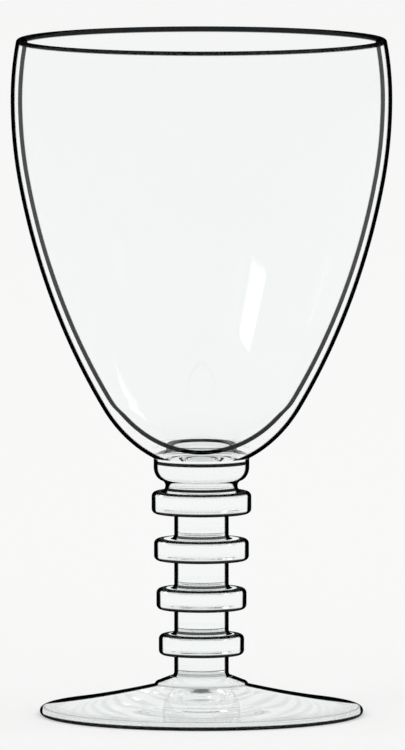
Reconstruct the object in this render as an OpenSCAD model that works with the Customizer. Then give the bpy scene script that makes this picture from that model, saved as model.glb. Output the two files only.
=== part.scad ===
// Water goblet in clear glass, with a ringed stem.
// Z runs up, and the origin is the centre of the circle that the foot rests on.
// Each piece is a gather of glass of its own, set hot on the piece below it, so all
// pieces are round about Z and meet face to face.

/* [Bowl] */
// Outer width of the bowl at its widest
bowl_d = 92.8; // [84:0.2:104]
// Height from the outer bottom of the bowl up to its widest part
bowl_side_h = 90.5; // [80:0.5:104]
// Height of the rim above the widest part
bowl_lip_h = 14.65; // [8:0.05:22]
// How far the rim leans in from the widest part
rim_lean = 1.42; // [0.5:0.02:4]
// Thickness of the wall, from the rim down to the widest part
bowl_wall = 1.8; // [1.2:0.05:3]
// Thickness of the glass at the bottom of the bowl
bowl_floor = 3.1; // [2.2:0.1:7]
// Width of the shallow dimple inside the bottom of the bowl
dimple_d = 16.8; // [8:0.2:24]
// Depth of the dimple
dimple_depth = 0.3; // [0.1:0.05:0.6]

/* [Knop under the bowl] */
// Width of the knop
knop_d = 23.3; // [20.4:0.1:30]
// Thickness of the knop at its middle, from the top ring to the bowl
knop_core_h = 5.25; // [4.2:0.05:8]
// Height of the knop's rounded underside
knop_under_h = 3.2; // [2:0.1:4]
// Width of the crease where the underside meets the neck
crease_d = 19.8; // [18.4:0.1:21.6]
// Width of the neck at its waist
neck_d = 17.6; // [15:0.1:19]
// Height of the neck
neck_h = 2.8; // [1.8:0.1:3.4]

/* [Rings] */
// Width of the top ring
ring_top_d = 24.3; // [22.6:0.1:30]
// Width of the bottom ring
ring_bottom_d = 20.8; // [18.6:0.1:24]
// Height of the top ring
ring_top_h = 5.4; // [4:0.1:8]
// Height of the bottom ring
ring_bottom_h = 5.1; // [4:0.1:8]
// Radius of the rings' outer corners
ring_corner_r = 1.2; // [0.4:0.1:1.5]

/* [Stem] */
// Width of the straight stem
stem_d = 13.3; // [10:0.1:15]
// Length of stem between the first ring and the second
stem_1_len = 6.15; // [4:0.05:12]
// Length of stem between the second ring and the third
stem_2_len = 6.75; // [4:0.05:12]
// Length of stem between the third ring and the fourth
stem_3_len = 6.05; // [4:0.05:12]
// Length of stem between the fourth ring and the foot
stem_4_len = 5.2; // [4:0.05:12]
// Radius of the flare where each length of stem was set down
flare_r = 1.1; // [0.5:0.1:1.5]

/* [Foot] */
// Width of the foot
foot_d = 78.8; // [66:0.2:92]
// Height of the foot at the wafer
foot_h = 7.4; // [5:0.1:11]
// Thickness of the foot's rounded edge
foot_edge_t = 2; // [1.4:0.1:3]
// How far the top of the foot dips below a straight slope
foot_dip = 0.3; // [0.1:0.05:0.8]
// Width of the flat ring that the foot rests on
rest_ring_w = 2.4; // [1.2:0.1:5]
// Height of the hollow under the middle of the foot
kick_h = 1.6; // [0.6:0.1:3]
// Width of the wafer that joins the stem to the foot
wafer_d = 22.8; // [19.6:0.1:30]
// Height of the wafer
wafer_h = 2.05; // [1.4:0.05:3.5]
// Width of the flat on top of the wafer
wafer_top_d = 15.6; // [15.2:0.1:17]
// Radius of the wafer's outer edge
wafer_edge_r = 0.9; // [0.4:0.1:1.2]

/* [Hidden] */
$fn = 96;
ring_count = 4;
// Straight pieces to each stretch of a small arc, and to each stretch of the bowl's side
arc_steps = 8;
side_steps = 12;
bowl_colour = [0.90, 0.95, 0.96, 0.45];
stem_colour = [0.86, 0.93, 0.95, 0.55];
foot_colour = [0.88, 0.94, 0.95, 0.50];

// The bowl's side is three arcs that run into each other, from the widest part down to
// the middle of the bottom. Their radii are shares of one length, and the turns say how
// far the side has turned in from upright, in degrees, at the end of each arc.
side_radius_shares = [1.015, 1.66, 0.404];
side_turns = [13, 36, 90];
// Degrees that the knop's underside, a flare and the wafer's edge turn through
knop_turn = 72.5;
flare_turn = 78;
wafer_turn = 68;

// Widths and heights worked out from the sizes above
bowl_r = bowl_d / 2;
inner_r = bowl_r - bowl_wall;
rim_round_r = bowl_wall / 2;
dimple_r = dimple_d / 2;
knop_r = knop_d / 2;
crease_r = crease_d / 2;
neck_r = neck_d / 2;
stem_r = stem_d / 2;
wafer_r = wafer_d / 2;
wafer_top_r = wafer_top_d / 2;
stem_lens = [stem_1_len, stem_2_len, stem_3_len, stem_4_len];

// Ring n counts from the top. Width and height change evenly down to the last ring.
function ring_share(n) = (n - 1) / (ring_count - 1);
function ring_r(n) = (ring_top_d + (ring_bottom_d - ring_top_d) * ring_share(n)) / 2;
function ring_h(n) = ring_top_h + (ring_bottom_h - ring_top_h) * ring_share(n);
// Undersides of stem n and ring n, stacked up from the wafer
function stem_z(n) = n == ring_count ? foot_h + wafer_h : ring_z(n + 1) + ring_h(n + 1);
function ring_z(n) = stem_z(n) + stem_lens[n - 1];

knop_z = ring_z(1) + ring_h(1);
crease_z = knop_z + neck_h;
bowl_z = knop_z + knop_core_h;
widest_z = bowl_z + bowl_side_h;
inner_z = bowl_z + bowl_floor;

// Points along an arc, from one angle to another
function arc(centre, r, from, to, steps = arc_steps) =
    [for (i = [0:steps]) let (a = from + (to - from) * i / steps)
        centre + r * [cos(a), sin(a)]];
function reversed(points) = [for (i = [len(points) - 1:-1:0]) points[i]];

// How far in and down the side runs while its arc i turns from one angle to another
function side_run(i, from, to) =
    side_radius_shares[i] * [cos(from) - cos(to), sin(to) - sin(from)];
function turn_before(i) = i == 0 ? 0 : side_turns[i - 1];
function run_before(i) =
    i == 0 ? [0, 0] : run_before(i - 1) + side_run(i - 1, turn_before(i - 1), side_turns[i - 1]);
side_reach = run_before(len(side_turns));
// The side as shares of a radius and of a height: [1, 1] at the widest part and [0, 0]
// at the middle of the bottom
side_shares = concat([[1, 1]], [for (i = [0:len(side_turns) - 1]) for (s = [1:side_steps])
    let (turn = turn_before(i) + (side_turns[i] - turn_before(i)) * s / side_steps,
        run = run_before(i) + side_run(i, turn_before(i), turn))
    [1 - run[0] / side_reach[0], 1 - run[1] / side_reach[1]]]);
function side(r, base_z) = [for (s = side_shares) [r * s[0], base_z + (widest_z - base_z) * s[1]]];
outer_side = side(bowl_r, bowl_z);
inner_side = side(inner_r, inner_z);

// From the widest part up, the wall leans in more and more steeply, to the rim's rounding
function lip(r) = [for (i = [0:side_steps]) let (up = (bowl_lip_h - rim_round_r) * i / side_steps)
    [r - rim_lean * pow(up / bowl_lip_h, 2), widest_z + up]];
outer_lip = lip(bowl_r);
inner_lip = lip(inner_r);
rim_centre = (outer_lip[side_steps] + inner_lip[side_steps]) / 2;

// Inside the bottom, a shallow dimple lies below the side's own curve
dimple = [for (i = [0:arc_steps]) let (r = dimple_r * (1 - i / arc_steps))
    [r, lookup(r, inner_side) - dimple_depth * (1 - pow(r / dimple_r, 2))]];

module bowl() {
    color(bowl_colour)
    rotate_extrude()
    polygon(concat(
        outer_lip,
        arc(rim_centre, rim_round_r, 0, 180),
        reversed(inner_lip),
        [for (p = inner_side) if (p[0] > dimple_r && p[0] < inner_r) p],
        dimple,
        reversed([for (p = outer_side) if (p[0] < bowl_r) p])));
}

// The knop is a neck with a cove, and a bun that the bowl sits in
module bowl_knop() {
    sag = crease_r - neck_r;
    cove_r = (pow(neck_h / 2, 2) + pow(sag, 2)) / (2 * sag);
    cove_turn = asin(neck_h / 2 / cove_r);
    cove = arc([neck_r + cove_r, knop_z + neck_h / 2], cove_r, 180 + cove_turn, 180 - cove_turn);
    underside = [for (i = [1:arc_steps]) let (a = knop_turn * (1 - i / arc_steps))
        [crease_r + (knop_r - crease_r) * (cos(a) - cos(knop_turn)) / (1 - cos(knop_turn)),
         crease_z + knop_under_h * (1 - sin(a) / sin(knop_turn))]];
    seat = [for (p = outer_side) if (p[0] < knop_r) p];
    color(stem_colour)
    rotate_extrude()
    polygon(concat(
        [[0, knop_z]], cove, underside, [[knop_r, lookup(knop_r, outer_side)]], seat));
}

// A flat disc of glass with rounded outer corners
module ring(n) {
    side_r = ring_r(n) - ring_corner_r;
    translate([0, 0, ring_z(n)])
    rotate_extrude()
    polygon(concat(
        [[0, 0]],
        arc([side_r, ring_corner_r], ring_corner_r, -90, 0),
        arc([side_r, ring_h(n) - ring_corner_r], ring_corner_r, 0, 90),
        [[0, ring_h(n)]]));
}

// A straight length of stem, flared at its lower end
module stem(n) {
    flare_h = flare_r * sin(flare_turn);
    translate([0, 0, stem_z(n)])
    rotate_extrude()
    polygon(concat(
        [[0, 0]],
        arc([stem_r + flare_r, flare_h], flare_r, 180 + flare_turn, 180),
        [[stem_r, stem_lens[n - 1]], [0, stem_lens[n - 1]]]));
}

module ring_1() { color(stem_colour) ring(1); }
module ring_2() { color(stem_colour) ring(2); }
module ring_3() { color(stem_colour) ring(3); }
module ring_4() { color(stem_colour) ring(4); }
module stem_1() { color(stem_colour) stem(1); }
module stem_2() { color(stem_colour) stem(2); }
module stem_3() { color(stem_colour) stem(3); }
module stem_4() { color(stem_colour) stem(4); }

// The low boss that carries the stem on the foot
module foot_wafer() {
    color(foot_colour)
    translate([0, 0, foot_h])
    rotate_extrude()
    polygon(concat(
        [[0, 0]],
        arc([wafer_r - wafer_edge_r, 0], wafer_edge_r, 0, wafer_turn),
        [[wafer_top_r, wafer_h], [0, wafer_h]]));
}

// The foot slopes from the wafer down to a round edge. It rests on a flat ring, with a
// shallow hollow inside.
module foot() {
    edge_r = foot_edge_t / 2;
    edge_centre = [foot_d / 2 - edge_r, edge_r];
    run = edge_centre[0] - wafer_r;
    edge_slope = atan((foot_h - foot_edge_t - 4 * foot_dip) / run);
    top_end = edge_centre + edge_r * [sin(edge_slope), cos(edge_slope)];
    hollow_r = edge_centre[0] - rest_ring_w;
    top = [for (i = [0:side_steps - 1]) let (s = i / side_steps)
        [wafer_r + (top_end[0] - wafer_r) * s,
         foot_h + (top_end[1] - foot_h) * s - 4 * foot_dip * s * (1 - s)]];
    hollow = [for (i = [0:side_steps]) let (r = hollow_r * (1 - i / side_steps))
        [r, kick_h * (1 - pow(r / hollow_r, 2))]];
    color(foot_colour)
    rotate_extrude()
    polygon(concat(
        [[0, foot_h]],
        top,
        arc(edge_centre, edge_r, 90 - edge_slope, -90),
        hollow));
}

bowl();
bowl_knop();
ring_1();
ring_2();
ring_3();
ring_4();
stem_1();
stem_2();
stem_3();
stem_4();
foot_wafer();
foot();
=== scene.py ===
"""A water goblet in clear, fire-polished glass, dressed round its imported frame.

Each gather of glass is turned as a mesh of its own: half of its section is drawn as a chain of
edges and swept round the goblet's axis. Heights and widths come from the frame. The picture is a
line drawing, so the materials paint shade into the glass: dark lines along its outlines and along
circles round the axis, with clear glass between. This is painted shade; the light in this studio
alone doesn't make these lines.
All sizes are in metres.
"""

import functools
import logging
import math
from dataclasses import dataclass
from enum import Enum
from typing import Iterable

import bpy
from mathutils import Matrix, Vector


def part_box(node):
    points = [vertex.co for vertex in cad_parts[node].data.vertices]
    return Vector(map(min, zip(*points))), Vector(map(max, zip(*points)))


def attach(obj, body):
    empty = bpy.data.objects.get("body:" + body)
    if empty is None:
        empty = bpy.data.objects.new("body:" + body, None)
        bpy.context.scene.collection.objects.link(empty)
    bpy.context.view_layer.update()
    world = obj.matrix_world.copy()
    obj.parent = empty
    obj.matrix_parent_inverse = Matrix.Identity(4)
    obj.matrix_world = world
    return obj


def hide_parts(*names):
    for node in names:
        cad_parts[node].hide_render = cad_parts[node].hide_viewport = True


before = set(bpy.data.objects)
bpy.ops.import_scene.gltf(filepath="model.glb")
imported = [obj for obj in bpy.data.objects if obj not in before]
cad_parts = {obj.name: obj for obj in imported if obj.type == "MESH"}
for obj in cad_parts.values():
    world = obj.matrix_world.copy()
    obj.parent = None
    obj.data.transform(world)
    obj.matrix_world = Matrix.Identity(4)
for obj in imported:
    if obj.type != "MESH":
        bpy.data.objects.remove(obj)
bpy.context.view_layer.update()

LOG = logging.getLogger("goblet")
MM = 0.001

# Steps round the axis, and along each stretch of an outline
TURN_STEPS = 256
SIDE_STEPS = 30
FOOT_STEPS = 90
ARC_STEPS = 12
# Vertices closer than this are one
WELD = 2e-7
# Edges that bend more than this stay sharp
CREASE = math.radians(35)
START_SQUARE = 1 * MM
# A face looks down if the height of its normal is below this
LOOKS_DOWN = -0.5
# How far off a joint's height its faces may lie, and how steep their normals are at least
JOINT_SLACK = 0.02 * MM
JOINT_SLOPE = 0.3
# Faces flatter than this count as just so flat when their curvature is worked out
LEAST_UPRIGHT = 0.02
# Where the noise of the haze and of the scratches starts and is full
HAZE_RANGE = (0.45, 0.8)
SCRATCH_RANGE = (0.48, 0.6)
# How dark the painted shade along a faint crease is
FAINT_PAINTED_SHADE = 0.35
RING_COUNT = 4

# The bowl's side is three arcs that run into each other, from the widest part down to the
# middle of the bottom: their radii as shares of one length, and how far each has turned in
SIDE_RADIUS_SHARES = (1.015, 1.66, 0.404)
SIDE_TURNS = (0, 13, 36, 90)

Point = tuple[float, float]
Colour = tuple[float, float, float]


class Face(Enum):
    """The material slots of a piece, by what its faces are."""

    OPEN = 0
    FUSED = 1
    HOLLOW = 2


class Lined(Enum):
    """The faces of a piece that show its painted dark outline."""

    OUTSIDE = "seen from outside"
    BOTH_SIDES = "seen from outside or from inside the glass"
    SLOPE = "seen from outside, on a broad slope that looks up"


def deselect_all() -> None:
    """Leaves object mode with nothing selected."""
    if bpy.context.object and bpy.context.object.mode != "OBJECT":
        bpy.ops.object.mode_set(mode="OBJECT")
    bpy.ops.object.select_all(action="DESELECT")


def arc(centre: Point, radius: float, start: float, end: float, steps: int = ARC_STEPS) -> list[Point]:
    """Points along an arc of a section.

    Args:
        centre: Distance from the axis and height of the arc's centre.
        radius: Radius of the arc.
        start: Angle of its first point, in degrees from straight outwards.
        end: Angle of its last point.
        steps: Straight pieces to the arc.

    Returns:
        The points, both ends included.
    """
    points = []
    for i in range(steps + 1):
        a = math.radians(start + (end - start) * i / steps)
        points.append((centre[0] + radius * math.cos(a), centre[1] + radius * math.sin(a)))
    return points


@dataclass(frozen=True)
class Extent:
    """Where a node of the frame is: its widest radius, its lowest and its highest point."""

    radius: float
    low: float
    high: float


@functools.cache
def extent_of(node: str) -> Extent:
    """Reads the extent of a node from the frame."""
    low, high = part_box(node)
    return Extent((high[0] - low[0]) / 2, low[2], high[2])


@dataclass(frozen=True)
class Joint:
    """A hot joint: the faces of a piece that are fused to the next piece.

    Attributes:
        low: Lowest height of the joint.
        high: Highest height of the joint.
        radius: How far it reaches from the axis.
        up: True if the joint's faces look up.
    """

    low: float
    high: float
    radius: float
    up: bool

    def holds(self, centre: Vector, normal: Vector) -> bool:
        """True if the face with this centre and normal belongs to the joint."""
        if math.hypot(centre.x, centre.y) >= self.radius:
            return False
        level = self.low - JOINT_SLACK < centre.z < self.high + JOINT_SLACK
        return level and (normal.z > JOINT_SLOPE if self.up else normal.z < -JOINT_SLOPE)


class Bench:
    """The node tree of one material or world, with a short way to add its nodes."""

    def __init__(self, tree: bpy.types.NodeTree) -> None:
        """Starts on an empty tree."""
        self.tree = tree
        self.tree.nodes.clear()

    def put(self, kind: str, inputs: dict | None = None, **settings) -> bpy.types.Node:
        """Adds a node.

        Args:
            kind: The node's type, without its ShaderNode prefix.
            inputs: For each input, by name or number, its value or the socket that feeds it.
            settings: The node's own properties.

        Returns:
            The new node.
        """
        node = self.tree.nodes.new("ShaderNode" + kind)
        for name, value in settings.items():
            setattr(node, name, value)
        for key, value in (inputs or {}).items():
            if isinstance(value, bpy.types.NodeSocket):
                self.tree.links.new(value, node.inputs[key])
            else:
                node.inputs[key].default_value = value
        return node

    def maths(self, operation: str, *values) -> bpy.types.NodeSocket:
        """Adds a Math node on these values and returns its result."""
        return self.put("Math", dict(enumerate(values)), operation=operation).outputs[0]

    def fade(self, value: bpy.types.NodeSocket, full: float, none: float) -> bpy.types.NodeSocket:
        """A share that is 1 where value is at or below full and falls smoothly to 0 at none."""
        inputs = {"Value": value, "From Min": full, "From Max": none, "To Min": 1.0, "To Max": 0.0}
        return self.put("MapRange", inputs, interpolation_type="SMOOTHSTEP").outputs["Result"]

    def other_leg(self, leg: bpy.types.NodeSocket) -> bpy.types.NodeSocket:
        """The other leg of a right triangle whose long side is 1."""
        return self.maths("SQRT", self.maths("SUBTRACT", 1.0, self.maths("MULTIPLY", leg, leg)))

    def output(self, kind: str, shader: bpy.types.NodeSocket) -> None:
        """Links a shader to the output."""
        self.put("Output" + kind, {"Surface": shader})


def new_material(name: str) -> tuple[bpy.types.Material, Bench]:
    """Makes an empty node material and the bench to build it on."""
    material = bpy.data.materials.new(name)
    material.use_nodes = True
    return material, Bench(material.node_tree)


@dataclass(frozen=True)
class Corner:
    """A circle round the axis along which shade is painted into the glass, as a line of the drawing.

    Most lie on a corner or a crease. Those under the bowl and on the flares are put where the
    drawing has its lines.

    Attributes:
        radius: Radius of the circle.
        height: Height of the circle.
        reach: How far from the circle the painted shade is halved.
        depth: How dark the painted shade is at the circle, up to 1.
        soft: How much of the reach it takes to fade, to either side.
    """

    radius: float
    height: float
    reach: float
    depth: float = 1.0
    soft: float = 0.2


@dataclass(frozen=True)
class GlassFinish:
    """Clear glass with painted shade: darkened in a line where it is seen edge on, and along circles at its
    corners.

    Attributes:
        name: Name of the material.
        tint: Colour of the glass seen face on.
        edge: Colour of the painted shade in the dark lines.
        outline: Width of the painted shade along each outline.
        outline_soft: How much of that width it takes to fade, to either side.
        flat_curve: Largest radius of curvature that counts as curved.
        lined: Where the painted outline shade shows.
        calm: How much of the reflections from outside is left out, so that the far side shows.
        corner_gloss: How much of its reflections a corner with painted shade keeps.
        ripple: Height of the surface's soft unevenness.
        ripple_scale: How often that unevenness repeats in a metre.
        haze: Roughness of the glass where its faint haze is thickest.
        haze_scale: How often the haze repeats in a metre.
        wear: Roughness of fine scratches below wear_height, or 0 for none.
        wear_height: Height up to which the glass is scratched.
        wear_full: Share of that height up to which the scratches are at their strongest.
        scratch_scale: How often the scratches repeat in a metre.
        ior: Refractive index of the glass.
    """

    name: str
    tint: Colour = (0.985, 0.995, 0.992)
    edge: Colour = (0.0006, 0.0011, 0.0013)
    outline: float = 1.0 * MM
    outline_soft: float = 0.15
    flat_curve: float = 500 * MM
    lined: Lined = Lined.OUTSIDE
    calm: float = 0.6
    corner_gloss: float = 0.03
    ripple: float = 0.012 * MM
    ripple_scale: float = 55.0
    haze: float = 0.02
    haze_scale: float = 90.0
    wear: float = 0.0
    wear_height: float = 0.3 * MM
    wear_full: float = 0.4
    scratch_scale: float = 2600.0
    ior: float = 1.52

    def material(self, corners: Iterable[Corner] = ()) -> bpy.types.Material:
        """Builds the glass, with the painted shade of its outline and its corners.

        Args:
            corners: The circles along which shade is painted into the glass.

        Returns:
            The material.
        """
        material, bench = new_material(self.name)
        place = bench.put("TexCoord").outputs["Object"]
        split = bench.put("SeparateXYZ", {0: place})
        flat = bench.put("CombineXYZ", {"X": split.outputs["X"], "Y": split.outputs["Y"]}).outputs[0]
        across = bench.put("VectorMath", {0: flat}, operation="LENGTH").outputs["Value"]
        section = bench.put("CombineXYZ", {"X": across, "Z": split.outputs["Z"]}).outputs[0]
        surface = bench.put("NewGeometry")
        outside = bench.maths("SUBTRACT", 1.0, surface.outputs["Backfacing"])

        # Painted shade: the glass's colour turns to the edge colour along the corner circles
        corner = bench.maths("MULTIPLY", self._painted_corner_shade(bench, section, corners), outside)
        tint_and_painted_shade = {0: corner, 6: (*self.tint, 1), 7: (*self.edge, 1)}
        colour = bench.put("Mix", tint_and_painted_shade, data_type="RGBA").outputs[2]
        normal = self._uneven(bench, place)
        glass = bench.put(
            "BsdfPrincipled",
            {"Base Color": colour, "Transmission Weight": 1.0, "IOR": self.ior, "Normal": normal},
        )
        self._polish(bench, glass, place, split.outputs["Z"])
        # Painted shade: a near-black refraction, mixed in along the outline and the corners
        dark = bench.put("BsdfRefraction", {"Color": (*self.edge, 1), "IOR": self.ior, "Normal": normal})
        line = self._painted_outline_shade(bench, surface, across)
        if self.lined is not Lined.BOTH_SIDES:
            line = bench.maths("MULTIPLY", line, outside)
        share = bench.maths("MAXIMUM", line, bench.maths("MULTIPLY", corner, 1 - self.corner_gloss))
        calm = bench.put("BsdfRefraction", {"Color": (*self.tint, 1), "IOR": self.ior, "Normal": normal})
        quiet = bench.maths("MULTIPLY", outside, self.calm)
        clear = bench.put("MixShader", {0: quiet, 1: glass.outputs[0], 2: calm.outputs[0]})
        mixed = bench.put("MixShader", {0: share, 1: clear.outputs[0], 2: dark.outputs[0]})
        bench.output("Material", mixed.outputs[0])
        return material

    def _painted_outline_shade(
        self, bench: Bench, surface: bpy.types.Node, across: bpy.types.NodeSocket
    ) -> bpy.types.NodeSocket:
        """How much a point lies in the painted shade along the outline that the eye sees.

        How edge on the glass is seen, and how tightly it curves there, give the distance inside
        the outline. So the line follows the view, and a baked export isn't expected to keep it.

        Args:
            bench: The material's bench.
            surface: The Geometry node.
            across: Distance from the axis.

        Returns:
            The share, 1 on the outline and 0 past the edge's width.
        """
        # Painted shade: a dark line of even width just inside the outline, worked out from how edge on the
        # glass is seen
        facing = bench.put("LayerWeight", {"Blend": 0.5}).outputs["Facing"]
        toward = bench.maths("SUBTRACT", 1.0, facing)
        slope = bench.put("SeparateXYZ", {0: surface.outputs["Normal"]}).outputs["Z"]
        upright = bench.maths("MAXIMUM", bench.other_leg(slope), LEAST_UPRIGHT)
        curve = bench.maths("MINIMUM", bench.maths("DIVIDE", across, upright), self.flat_curve)
        side = bench.other_leg(toward)
        if self.lined is Lined.BOTH_SIDES:
            bend = {"Value": surface.outputs["Backfacing"], "To Min": 1.0, "To Max": self.ior}
            side = bench.maths("MULTIPLY", side, bench.put("MapRange", bend).outputs["Result"])
        inward = bench.maths("MULTIPLY", curve, bench.maths("SUBTRACT", 1.0, side))
        blur = self.outline * self.outline_soft
        line = bench.fade(inward, self.outline - blur, self.outline + blur)
        if self.lined is Lined.SLOPE:
            line = bench.maths("MULTIPLY", line, bench.maths("GREATER_THAN", slope, LOOKS_DOWN))
        # Past total reflection the distance is below 0, and there is no line
        return bench.maths("MULTIPLY", line, bench.maths("GREATER_THAN", inward, -WELD))

    def _painted_corner_shade(
        self, bench: Bench, section: bpy.types.NodeSocket, corners: Iterable[Corner]
    ) -> bpy.types.NodeSocket:
        """How much a point lies in the painted shade of a corner.

        Args:
            bench: The material's bench.
            section: The point's place in the goblet's section.
            corners: The circles along which shade is painted into the glass.

        Returns:
            The share, up to 1.
        """
        share = bench.put("Value").outputs[0]
        share.default_value = 0.0
        # Painted shade along each circle, darkest at the circle itself
        for c in corners:
            circle = (c.radius, 0.0, c.height)
            away = bench.put("VectorMath", {0: section, 1: circle}, operation="DISTANCE").outputs["Value"]
            dark = bench.fade(away, c.reach * (1 - c.soft), c.reach * (1 + c.soft))
            near = bench.maths("MULTIPLY", dark, c.depth)
            share = bench.maths("MAXIMUM", share, near)
        return share

    def _uneven(self, bench: Bench, place: bpy.types.NodeSocket) -> bpy.types.NodeSocket:
        """The soft unevenness that a flame leaves on glass, as a normal."""
        noise = {"Vector": place, "Scale": self.ripple_scale, "Detail": 1.5, "Roughness": 0.4}
        swell = bench.put("TexNoise", noise).outputs[0]
        return bench.put("Bump", {"Height": swell, "Strength": 1.0, "Distance": self.ripple}).outputs[0]

    def _polish(
        self, bench: Bench, glass: bpy.types.Node, place: bpy.types.NodeSocket, height: bpy.types.NodeSocket
    ) -> None:
        """Sets how smooth the glass is: a faint haze in patches, and scratches where it rests.

        Args:
            bench: The material's bench.
            glass: The Principled node.
            place: The point's place.
            height: The point's height.
        """
        noise = bench.put("TexNoise", {"Vector": place, "Scale": self.haze_scale, "Detail": 3.0})
        start, full = HAZE_RANGE
        haze = {"Value": noise.outputs[0], "From Min": start, "From Max": full, "To Max": self.haze}
        rough = bench.put("MapRange", haze).outputs["Result"]
        if self.wear:
            scratch = bench.put("TexNoise", {"Vector": place, "Scale": self.scratch_scale, "Detail": 2.0})
            worn = bench.fade(scratch.outputs[0], *SCRATCH_RANGE)
            low = bench.fade(height, self.wear_height * self.wear_full, self.wear_height)
            worn = bench.maths("MULTIPLY", bench.maths("MULTIPLY", worn, low), self.wear)
            rough = bench.maths("MAXIMUM", rough, worn)
        bench.tree.links.new(rough, glass.inputs["Roughness"])


@dataclass(frozen=True)
class FusedFinish:
    """Nothing to see: two pieces of glass run into each other here."""

    name: str = "fused_joint"

    def material(self) -> bpy.types.Material:
        """Builds the clear joint."""
        material, bench = new_material(self.name)
        bench.output("Material", bench.put("BsdfTransparent", {"Color": (1, 1, 1, 1)}).outputs[0])
        return material


class Lathe:
    """Draws half of a section as a chain of edges, then turns it round the goblet's axis."""

    def __init__(self, name: str, start: Point) -> None:
        """Puts down the section's first vertex: a small square, merged to its middle."""
        deselect_all()
        bpy.ops.mesh.primitive_plane_add(size=START_SQUARE, location=(start[0], 0, start[1]))
        self.piece = bpy.context.active_object
        self.piece.name = self.piece.data.name = name
        bpy.ops.object.mode_set(mode="EDIT")
        bpy.ops.mesh.select_mode(type="VERT")
        bpy.ops.mesh.select_all(action="SELECT")
        bpy.ops.mesh.merge(type="CENTER")
        self.at = start

    def draw(self, points: Iterable[Point]) -> None:
        """Extrudes the last vertex to each of these points in turn."""
        for x, z in points:
            step = (x - self.at[0], 0, z - self.at[1])
            if math.hypot(step[0], step[2]) < WELD:
                continue
            bpy.ops.mesh.extrude_vertices_move(TRANSFORM_OT_translate={"value": step})
            self.at = (x, z)

    def turn(self) -> bpy.types.Object:
        """Sweeps the section round the axis.

        Returns:
            The closed piece, smooth but for its creases, with its origin at the goblet's.
        """
        bpy.ops.mesh.select_all(action="SELECT")
        bpy.ops.mesh.spin(steps=TURN_STEPS, angle=math.tau, center=(0, 0, 0), axis=(0, 0, 1))
        bpy.ops.mesh.select_all(action="SELECT")
        bpy.ops.mesh.remove_doubles(threshold=WELD)
        bpy.ops.mesh.select_all(action="SELECT")
        bpy.ops.mesh.normals_make_consistent(inside=False)
        bpy.ops.object.mode_set(mode="OBJECT")
        bpy.ops.object.transform_apply(location=True, rotation=True, scale=True)
        bpy.ops.object.shade_smooth_by_angle(angle=CREASE)
        return self.piece


@dataclass
class Gather:
    """One gather of glass: a piece of the goblet, round about its axis.

    Attributes:
        node: The frame's node that it stands for.
        finish: Its glass.
    """

    node: str
    finish: GlassFinish

    @property
    def extent(self) -> Extent:
        """Where the frame has it."""
        return extent_of(self.node)

    def outline(self) -> list[Point]:
        """Its section from the axis at the bottom to the axis at the top."""
        raise NotImplementedError

    def joints(self) -> list[Joint]:
        """Its fused joints."""
        return []

    def corners(self) -> list[Corner]:
        """Its circles of painted shade, at corners and creases."""
        return []

    def build(self) -> bpy.types.Object:
        """Turns, dresses and places the piece, and returns it."""
        points = self.outline()
        lathe = Lathe(self.node + "_glass", points[0])
        lathe.draw(points[1:])
        piece = lathe.turn()
        self.dress(piece)
        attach(piece, "root")
        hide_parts(self.node)
        LOG.info("%s: %d faces", piece.name, len(piece.data.polygons))
        return piece

    def dress(self, piece: bpy.types.Object) -> None:
        """Gives the piece its glass, and its joints their own finish."""
        deselect_all()
        piece.select_set(True)
        bpy.context.view_layer.objects.active = piece
        piece.data.materials.append(self.finish.material(self.corners()))
        piece.data.materials.append(FUSED)
        joints = self.joints()
        bpy.ops.object.mode_set(mode="EDIT")
        bpy.ops.mesh.select_mode(type="FACE")
        bpy.ops.mesh.select_all(action="DESELECT")
        bpy.ops.object.mode_set(mode="OBJECT")
        for face in piece.data.polygons:
            face.select = any(j.holds(face.center, face.normal) for j in joints)
        self.assign(piece, Face.FUSED)

    def assign(self, piece: bpy.types.Object, slot: Face) -> None:
        """Gives the selected faces of the piece to a slot."""
        bpy.ops.object.mode_set(mode="EDIT")
        piece.active_material_index = slot.value
        bpy.ops.object.material_slot_assign()
        bpy.ops.object.mode_set(mode="OBJECT")


def side_shares() -> list[Point]:
    """The bowl's side as shares of a radius and of a height.

    Returns:
        Points from the middle of the bottom, at (0, 0), to the widest part, at (1, 1).
    """
    runs = [(0.0, 0.0)]
    for share, start, end in zip(SIDE_RADIUS_SHARES, SIDE_TURNS, SIDE_TURNS[1:]):
        base = runs[-1]
        first = math.radians(start)
        for i in range(1, SIDE_STEPS + 1):
            a = math.radians(start + (end - start) * i / SIDE_STEPS)
            across = base[0] + share * (math.cos(first) - math.cos(a))
            runs.append((across, base[1] + share * (math.sin(a) - math.sin(first))))
    reach = runs[-1]
    return [(1 - x / reach[0], 1 - z / reach[1]) for x, z in reversed(runs)]


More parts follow.
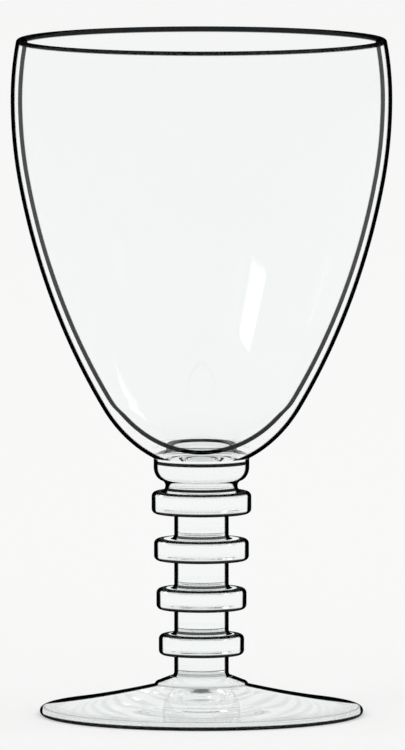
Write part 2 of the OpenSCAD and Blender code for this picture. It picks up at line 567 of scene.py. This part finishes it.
@dataclass
class Bowl(Gather):
    """The blown bowl, with its rounded rim and the dimple in its bottom.

    Attributes:
        hollow_finish: The glass of its inner face.
        lip_height: Height of the rim over the widest part.
        lean: How far the lip leans in.
        wall: Thickness of the wall.
        floor: Thickness of the bottom, without the dimple.
        dimple_radius: Radius of the dimple.
        dimple_depth: Depth of the dimple.
        rim_dark: How far the painted shade along the rim reaches.
        dimple_dark: How far the painted shade along the dimple's edge reaches.
    """

    hollow_finish: GlassFinish
    lip_height: float = 14.65 * MM
    lean: float = 1.42 * MM
    wall: float = 1.8 * MM
    floor: float = 3.1 * MM
    dimple_radius: float = 8.4 * MM
    dimple_depth: float = 0.3 * MM
    rim_dark: float = 1.45 * MM
    dimple_dark: float = 0.85 * MM

    @property
    def rim_radius(self) -> float:
        """Distance of the middle of the rim from the axis."""
        return self.extent.radius - self.lean - self.wall / 2

    @property
    def widest(self) -> float:
        """Height of the bowl's widest part."""
        return self.extent.high - self.lip_height

    def side(self, radius: float, base: float) -> list[Point]:
        """The side of the outer or the inner face, from the axis up to the widest part."""
        return [(radius * x, base + (self.widest - base) * z) for x, z in side_shares()]

    def lip(self, radius: float) -> list[Point]:
        """A face of the lip, from the widest part up to the rim's rounding."""
        tall = self.lip_height - self.wall / 2
        points = []
        for i in range(SIDE_STEPS + 1):
            up = tall * i / SIDE_STEPS
            points.append((radius - self.lean * (up / self.lip_height) ** 2, self.widest + up))
        return points

    def outline(self) -> list[Point]:
        """The outer face, the rim and the inner face."""
        at = self.extent
        inner = at.radius - self.wall
        outer_lip, inner_lip = self.lip(at.radius), self.lip(inner)
        rim = ((outer_lip[-1][0] + inner_lip[-1][0]) / 2, outer_lip[-1][1])
        inside = []
        for r, z in self.side(inner, at.low + self.floor):
            dip = self.dimple_depth * max(0.0, 1 - (r / self.dimple_radius) ** 2)
            inside.append((r, z - dip))
        return [
            *self.side(at.radius, at.low),
            *outer_lip[1:],
            *arc(rim, self.wall / 2, 0, 180, 2 * ARC_STEPS)[1:],
            *inner_lip[-2::-1],
            *inside[-2::-1],
        ]

    def joints(self) -> list[Joint]:
        """The seat on the knop."""
        knop = extent_of("bowl_knop")
        return [Joint(self.extent.low, knop.high, knop.radius, up=False)]

    def corners(self) -> list[Corner]:
        """Painted shade along the rounded rim and the edge of the dimple."""
        at = self.extent
        edge = min(self.side(at.radius - self.wall, at.low + self.floor), key=self._from_dimple)
        return [
            Corner(self.rim_radius, at.high, self.rim_dark, soft=0.1),
            Corner(*edge, self.dimple_dark),
        ]

    def _from_dimple(self, point: Point) -> float:
        """How far a point of the hollow is from the dimple's edge."""
        return abs(point[0] - self.dimple_radius)

    def dress(self, piece: bpy.types.Object) -> None:
        """Gives the hollow its own glass, whose painted outline shade shows through the wall."""
        super().dress(piece)
        piece.data.materials.append(self.hollow_finish.material(self.corners()))
        rim = self.rim_radius
        for face in piece.data.polygons:
            across = math.hypot(face.center.x, face.center.y)
            inward = face.normal.x * face.center.x + face.normal.y * face.center.y < 0
            face.select = inward or (across < rim and face.normal.z > 0)
        self.assign(piece, Face.HOLLOW)


@dataclass
class Knop(Gather):
    """The bun-shaped gather under the bowl, on a short coved neck.

    Attributes:
        bowl: The bowl that sits on it.
        neck_radius: Radius of the neck's waist.
        neck_height: Height of the neck.
        crease_radius: Radius of the neck's foot, and of the crease over it.
        under_height: Height of the rounded underside.
        under_turn: How far the underside turns, in degrees.
        neck_in: How far inside and above the neck's foot its line of painted shade lies.
        neck_dark: Reach of that painted shade.
        crease_dark: Reach of the faint painted shade along the crease.
        seat_drop: How far the painted shade under the bowl lies below the upper edge, on plain glass.
        seat_dark: Reach of that painted shade.
    """

    bowl: Bowl
    neck_radius: float = 8.8 * MM
    neck_height: float = 2.8 * MM
    crease_radius: float = 9.9 * MM
    under_height: float = 3.2 * MM
    under_turn: float = 72.5
    neck_in: float = 0.8 * MM
    neck_dark: float = 0.4 * MM
    crease_dark: float = 0.3 * MM
    seat_drop: float = 0.9 * MM
    seat_dark: float = 0.42 * MM

    def outline(self) -> list[Point]:
        """The cove, the rounded underside and the seat of the bowl."""
        at = self.extent
        sag = self.crease_radius - self.neck_radius
        cove = ((self.neck_height / 2) ** 2 + sag**2) / (2 * sag)
        turn = math.degrees(math.asin(self.neck_height / 2 / cove))
        middle = (self.neck_radius + cove, at.low + self.neck_height / 2)
        crease = at.low + self.neck_height
        last = math.radians(self.under_turn)
        under = []
        for i in range(1, ARC_STEPS + 1):
            a = last * (1 - i / ARC_STEPS)
            out = (math.cos(a) - math.cos(last)) / (1 - math.cos(last))
            across = self.crease_radius + (at.radius - self.crease_radius) * out
            up = 1 - math.sin(a) / math.sin(last)
            under.append((across, crease + self.under_height * up))
        bowl = self.bowl.extent
        seat = [p for p in self.bowl.side(bowl.radius, bowl.low) if p[0] < at.radius]
        return [
            (0, at.low),
            *arc(middle, cove, 180 + turn, 180 - turn),
            *under,
            (at.radius, at.high),
            *reversed(seat),
        ]

    def joints(self) -> list[Joint]:
        """The neck on the top ring, and the seat of the bowl."""
        at = self.extent
        bowl = extent_of("bowl")
        return [
            Joint(at.low, at.low, self.crease_radius, up=False),
            Joint(bowl.low, at.high, at.radius, up=True),
        ]

    def corners(self) -> list[Corner]:
        """Painted shade at the neck's foot, along the crease over the neck, and as the line under the bowl.
        """
        at = self.extent
        return [
            Corner(self.crease_radius - self.neck_in, at.low + self.neck_in, self.neck_dark),
            Corner(self.crease_radius, at.low + self.neck_height, self.crease_dark, FAINT_PAINTED_SHADE),
            Corner(at.radius, at.high - self.seat_drop, self.seat_dark),
        ]


@dataclass
class Ring(Gather):
    """A flat disc of glass with rounded corners.

    Attributes:
        above: How far the piece on top of it reaches from the axis.
        below: How far the piece under it reaches from the axis.
        corner: Radius of the corners.
        low_line: How far out and up from that corner's start the lower line of painted shade lies.
        low_dark: Reach of the lower painted shade.
        high_in: How far in from the other corner's start the upper line of painted shade lies.
        high_dark: Reach of the upper painted shade.
    """

    above: float
    below: float
    corner: float = 1.2 * MM
    low_line: Point = (0.6 * MM, 0.2 * MM)
    low_dark: float = 0.85 * MM
    high_in: float = 0.1 * MM
    high_dark: float = 1.1 * MM

    def outline(self) -> list[Point]:
        """The bottom, the side with its two corners, and the top."""
        at = self.extent
        side = at.radius - self.corner
        return [
            (0, at.low),
            (self.below, at.low),
            *arc((side, at.low + self.corner), self.corner, -90, 0),
            *arc((side, at.high - self.corner), self.corner, 0, 90),
            (self.above, at.high),
            (0, at.high),
        ]

    def joints(self) -> list[Joint]:
        """The pieces on top of it and under it."""
        at = self.extent
        return [Joint(at.low, at.low, self.below, up=False), Joint(at.high, at.high, self.above, up=True)]

    def corners(self) -> list[Corner]:
        """Painted shade on the two rounded corners, over most of their turn."""
        at = self.extent
        side = at.radius - self.corner
        return [
            Corner(side + self.low_line[0], at.low + self.low_line[1], self.low_dark),
            Corner(side - self.high_in, at.high, self.high_dark),
        ]


@dataclass
class StemLength(Gather):
    """A straight length of stem, flared where it was set down.

    Attributes:
        flare: Radius of the flare's arc.
        flare_turn: How far the flare turns, in degrees.
        flare_line: How far out from the straight part, and how far up, the flare's line of painted shade
            lies.
        flare_dark: Reach of that painted shade.
        flare_depth: How dark that painted shade is.
    """

    flare: float = 1.1 * MM
    flare_turn: float = 78
    flare_line: Point = (0.15 * MM, 0.62 * MM)
    flare_dark: float = 0.37 * MM
    flare_depth: float = 0.9

    @property
    def straight(self) -> float:
        """Radius of the straight part."""
        return self.extent.radius - self.flare * (1 - math.cos(math.radians(self.flare_turn)))

    def outline(self) -> list[Point]:
        """The foot of the flare, the flare and the straight part."""
        at = self.extent
        middle = (self.straight + self.flare, at.low + self.flare * math.sin(math.radians(self.flare_turn)))
        return [
            (0, at.low),
            *arc(middle, self.flare, 180 + self.flare_turn, 180),
            (self.straight, at.high),
            (0, at.high),
        ]

    def joints(self) -> list[Joint]:
        """Both ends."""
        at = self.extent
        return [Joint(at.low, at.low, at.radius, up=False), Joint(at.high, at.high, self.straight, up=True)]

    def corners(self) -> list[Corner]:
        """The painted shade round the middle of the flare."""
        out, up = self.flare_line
        return [Corner(self.straight + out, self.extent.low + up, self.flare_dark, self.flare_depth)]


@dataclass
class FootWafer(Gather):
    """The low boss that carries the stem on the foot.

    Attributes:
        stem_radius: How far the stem on it reaches from the axis.
        top_radius: Radius of its flat top.
        edge: Radius of its rounded edge.
        edge_turn: How far that edge turns, in degrees.
        crease_dark: Reach of the faint painted shade along the foot.
    """

    stem_radius: float = 7.5 * MM
    top_radius: float = 7.8 * MM
    edge: float = 0.9 * MM
    edge_turn: float = 68
    crease_dark: float = 0.35 * MM

    def outline(self) -> list[Point]:
        """The round edge, the slope and the flat top."""
        at = self.extent
        return [
            (0, at.low),
            *arc((at.radius - self.edge, at.low), self.edge, 0, self.edge_turn),
            (self.top_radius, at.high),
            (self.stem_radius, at.high),
            (0, at.high),
        ]

    def joints(self) -> list[Joint]:
        """The foot under it and the stem on it."""
        at = self.extent
        return [
            Joint(at.low, at.low, at.radius, up=False),
            Joint(at.high, at.high, self.stem_radius, up=True),
        ]

    def corners(self) -> list[Corner]:
        """Painted shade along the soft crease over the foot."""
        return [Corner(self.extent.radius, self.extent.low, self.crease_dark, FAINT_PAINTED_SHADE)]


@dataclass
class Foot(Gather):
    """The broad foot: a slope, a round edge, and a flat ring to rest on round a hollow.

    Attributes:
        edge_thickness: Thickness at the edge.
        dip: How far the slope sags in its middle.
        rest_ring: Width of the ring that it rests on.
        hollow_height: Height of the hollow in its middle.
        edge_in: How far inside and above the lower edge its line of painted shade lies.
        edge_dark: Reach of that painted shade.
        crease_dark: Reach of the faint painted shade over the edge.
        crease_depth: How dark that faint painted shade is.
    """

    edge_thickness: float = 2 * MM
    dip: float = 0.3 * MM
    rest_ring: float = 2.4 * MM
    hollow_height: float = 1.6 * MM
    edge_in: float = 0.3 * MM
    edge_dark: float = 0.75 * MM
    crease_dark: float = 0.3 * MM
    crease_depth: float = 0.3

    def outline(self) -> list[Point]:
        """The hollow, the rest ring, the round edge and the sloping top."""
        at = self.extent
        wafer = extent_of("foot_wafer").radius
        edge = self.edge_thickness / 2
        middle = (at.radius - edge, edge)
        slope = math.atan((at.high - self.edge_thickness - 4 * self.dip) / (middle[0] - wafer))
        last = (middle[0] + edge * math.sin(slope), middle[1] + edge * math.cos(slope))
        hollow = middle[0] - self.rest_ring
        under, top = [], []
        for i in range(FOOT_STEPS + 1):
            share = i / FOOT_STEPS
            under.append((hollow * share, self.hollow_height * (1 - share**2)))
            drop = 4 * self.dip * share * (1 - share)
            top.append((wafer + (last[0] - wafer) * share, at.high + (last[1] - at.high) * share - drop))
        return [
            *under,
            *arc(middle, edge, -90, 90 - math.degrees(slope), 2 * ARC_STEPS),
            *top[-2::-1],
            (0, at.high),
        ]

    def joints(self) -> list[Joint]:
        """The wafer on it."""
        return [Joint(self.extent.high, self.extent.high, extent_of("foot_wafer").radius, up=True)]

    def corners(self) -> list[Corner]:
        """Painted shade along the foot's lower edge, and along the soft crease over it."""
        at = self.extent
        edge = self.edge_thickness / 2
        return [
            Corner(at.radius - self.edge_in, self.edge_in, self.edge_dark),
            Corner(at.radius - edge, self.edge_thickness, self.crease_dark, self.crease_depth),
        ]


@dataclass(frozen=True)
class SoftBox:
    """A square lamp that looks at the goblet.

    Attributes:
        name: Name of the lamp.
        place: Where it hangs.
        size: Length of its sides.
        power: Its power, in watts.
    """

    name: str
    place: tuple[float, float, float]
    size: float
    power: float


@dataclass(frozen=True)
class Studio:
    """The pale floor, the soft light round it and the camera.

    Attributes:
        distance: From the camera to the middle of the picture.
        elevation: How far the camera looks down there, in degrees.
        aim: The point in the middle of the picture.
        picture_height: How tall the picture is at the goblet.
        sensor: Width of the camera's sensor, in millimetres.
        nearest: What is nearer to the camera than this isn't seen.
        floor_size: Length of the floor's sides.
        floor_colour: Colour of the floor.
        floor_glow: How much the floor glows by itself.
        grain_scale: How often the floor's grain repeats in a metre.
        grain_dark: Brightness of the grain at its darkest.
        horizon: Brightness of the light from the horizon.
        zenith: Brightness of the light from overhead.
        zenith_from: Height from which the light counts as from overhead, as a share of 1.
        boxes: The lamps.
        bounces: How often light may bounce. In the thin foot it is thrown to and fro some 10 to 25 times.
        diffuse_bounces: How often light may bounce off matt surfaces.
        blur: How much sharp reflections after a soft one are blurred.
        clamp: Brightest that bounced light may be.
    """

    distance: float = 4.575
    elevation: float = 5.0
    aim: tuple[float, float, float] = (0.25 * MM, 0.0, 83.0 * MM)
    picture_height: float = 182.5 * MM
    sensor: float = 36.0
    nearest: float = 0.1
    floor_size: float = 160.0
    floor_colour: Colour = (0.72, 0.72, 0.715)
    floor_glow: float = 0.29
    grain_scale: float = 900.0
    grain_dark: float = 0.992
    horizon: float = 0.945
    zenith: float = 0.85
    zenith_from: float = 0.8
    boxes: tuple[SoftBox, ...] = (
        SoftBox("key_box", (-1.5, -1.3, 1.5), size=0.5, power=2.6),
        SoftBox("rim_box", (1.6, 1.0, 1.2), size=0.4, power=1.6),
    )
    bounces: int = 64
    diffuse_bounces: int = 4
    blur: float = 0.3
    clamp: float = 6.0

    def build(self) -> None:
        """Puts up the whole studio."""
        self.floor()
        self.sky()
        self.lamps()
        self.camera()
        self.settings()

    def floor(self) -> None:
        """Lays the floor."""
        deselect_all()
        bpy.ops.mesh.primitive_plane_add(size=self.floor_size, location=(0, 0, 0))
        floor = bpy.context.active_object
        floor.name = "studio_floor"
        material, bench = new_material("pale_floor")
        place = bench.put("TexCoord").outputs["Object"]
        grain = bench.put("TexNoise", {"Vector": place, "Scale": self.grain_scale, "Detail": 2.0})
        tones = {"Value": grain.outputs[0], "To Min": self.grain_dark, "To Max": 1.0}
        tone = bench.put("MapRange", tones).outputs["Result"]
        colour = bench.put("VectorMath", {0: self.floor_colour, "Scale": tone}, operation="SCALE").outputs[0]
        paint = bench.put("BsdfDiffuse", {"Color": colour})
        glow = bench.put("Emission", {"Color": (1, 1, 1, 1), "Strength": self.floor_glow})
        both = bench.put("AddShader", {0: paint.outputs[0], 1: glow.outputs[0]})
        bench.output("Material", both.outputs[0])
        floor.data.materials.append(material)

    def sky(self) -> None:
        """Lights the studio all round: bright at the horizon, greyer overhead."""
        world = bpy.data.worlds.new("studio_light")
        bpy.context.scene.world = world
        world.use_nodes = True
        bench = Bench(world.node_tree)
        way = bench.put("TexCoord").outputs["Generated"]
        up = bench.put("SeparateXYZ", {0: way}).outputs["Z"]
        tones = {"Value": up, "From Max": self.zenith_from, "To Min": self.horizon, "To Max": self.zenith}
        strength = bench.put("MapRange", tones).outputs["Result"]
        light = bench.put("Background", {"Color": (1, 1, 1, 1), "Strength": strength})
        bench.output("World", light.outputs[0])

    def lamps(self) -> None:
        """Hangs the soft boxes whose reflections model the glass."""
        for box in self.boxes:
            deselect_all()
            bpy.ops.object.light_add(type="AREA", location=box.place)
            lamp = bpy.context.active_object
            lamp.name = box.name
            lamp.data.shape = "SQUARE"
            lamp.data.size = box.size
            lamp.data.energy = box.power
            way = Vector(self.aim) - lamp.location
            lamp.rotation_euler = way.to_track_quat("-Z", "Y").to_euler()

    def camera(self) -> None:
        """Sets the camera far back, looking a little down, as the picture does."""
        e = math.radians(self.elevation)
        back = Vector((0, -math.cos(e), math.sin(e)))
        bpy.ops.object.camera_add(location=Vector(self.aim) + back * self.distance)
        camera = bpy.context.active_object
        camera.rotation_euler = (-back).to_track_quat("-Z", "Y").to_euler()
        camera.data.sensor_width = self.sensor
        camera.data.lens = self.sensor * self.distance / self.picture_height
        camera.data.clip_start = self.nearest
        camera.data.clip_end = 2 * self.floor_size
        bpy.context.scene.camera = camera

    def settings(self) -> None:
        """Lets light through many layers of glass, and keeps whites white."""
        scene = bpy.context.scene
        scene.view_settings.view_transform = "Standard"
        scene.cycles.max_bounces = self.bounces
        scene.cycles.transmission_bounces = self.bounces
        scene.cycles.glossy_bounces = self.bounces
        scene.cycles.diffuse_bounces = self.diffuse_bounces
        scene.cycles.transparent_max_bounces = self.bounces
        scene.cycles.blur_glossy = self.blur
        scene.cycles.sample_clamp_indirect = self.clamp
        scene.cycles.use_denoising = True


FUSED = FusedFinish().material()


def gathers() -> list[Gather]:
    """Every piece of the goblet, from the top down."""
    bowl_glass = GlassFinish("bowl_glass")
    hollow_glass = GlassFinish("bowl_hollow_glass", lined=Lined.BOTH_SIDES)
    stem_glass = GlassFinish("stem_glass", tint=(0.97, 0.99, 0.985))
    foot_glass = GlassFinish(
        "foot_glass",
        tint=stem_glass.tint,
        outline=0.85 * MM,
        lined=Lined.SLOPE,
        wear=0.2,
    )
    bowl = Bowl("bowl", bowl_glass, hollow_glass)
    knop = Knop("bowl_knop", stem_glass, bowl)
    pieces: list[Gather] = [bowl, knop]
    stems = [StemLength(f"stem_{n}", stem_glass) for n in range(1, RING_COUNT + 1)]
    stems[-1].flare_depth = FAINT_PAINTED_SHADE
    for n, stem in enumerate(stems, start=1):
        above = knop.crease_radius if n == 1 else stems[n - 2].extent.radius
        pieces += [Ring(f"ring_{n}", stem_glass, above, stem.straight), stem]
    pieces.append(FootWafer("foot_wafer", foot_glass, stem_radius=stems[-1].extent.radius))
    pieces.append(Foot("foot", foot_glass))
    return pieces


def main() -> None:
    """Builds the goblet and its studio."""
    logging.basicConfig(level=logging.INFO, format="%(name)s %(message)s")
    for gather in gathers():
        gather.build()
    Studio().build()


if __name__ == "__main__":
    main()
